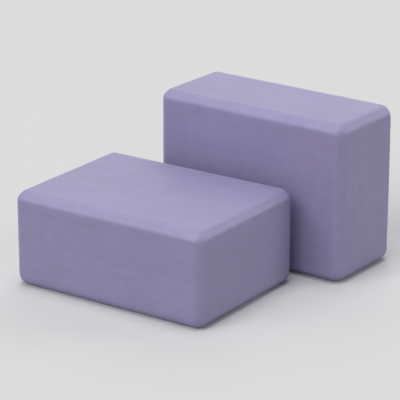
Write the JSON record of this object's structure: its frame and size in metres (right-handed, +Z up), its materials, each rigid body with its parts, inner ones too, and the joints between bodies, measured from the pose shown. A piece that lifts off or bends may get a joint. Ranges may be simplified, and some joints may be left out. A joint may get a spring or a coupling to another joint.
{
  "type": "yoga block pair",
  "caption": "Rectangular lavender foam yoga blocks with bevelled edges, lying flat and standing on a long side, for support and reach in yoga and pilates poses.",
  "frame": {"origin": "centre of the lying block's bottom face, on the floor", "axes": "+X along the lying block's length, +Y from its front to the standing block behind it, +Z up"},
  "size_m": [0.2608, 0.2714, 0.158],
  "materials": {
    "foam": "matt lavender closed-cell EVA foam with a fine skin of cut cells"
  },
  "bodies": {
    "flat_block": {"flat_block": "foam"},
    "upright_block": {"upright_block": "foam"}
  },
  "joints": [
    {"name": "upright_lift", "type": "slide", "parent": "flat_block", "child": "upright_block", "axis": [0, 0, 1], "range_m": [0, 0.2]}
  ]
}
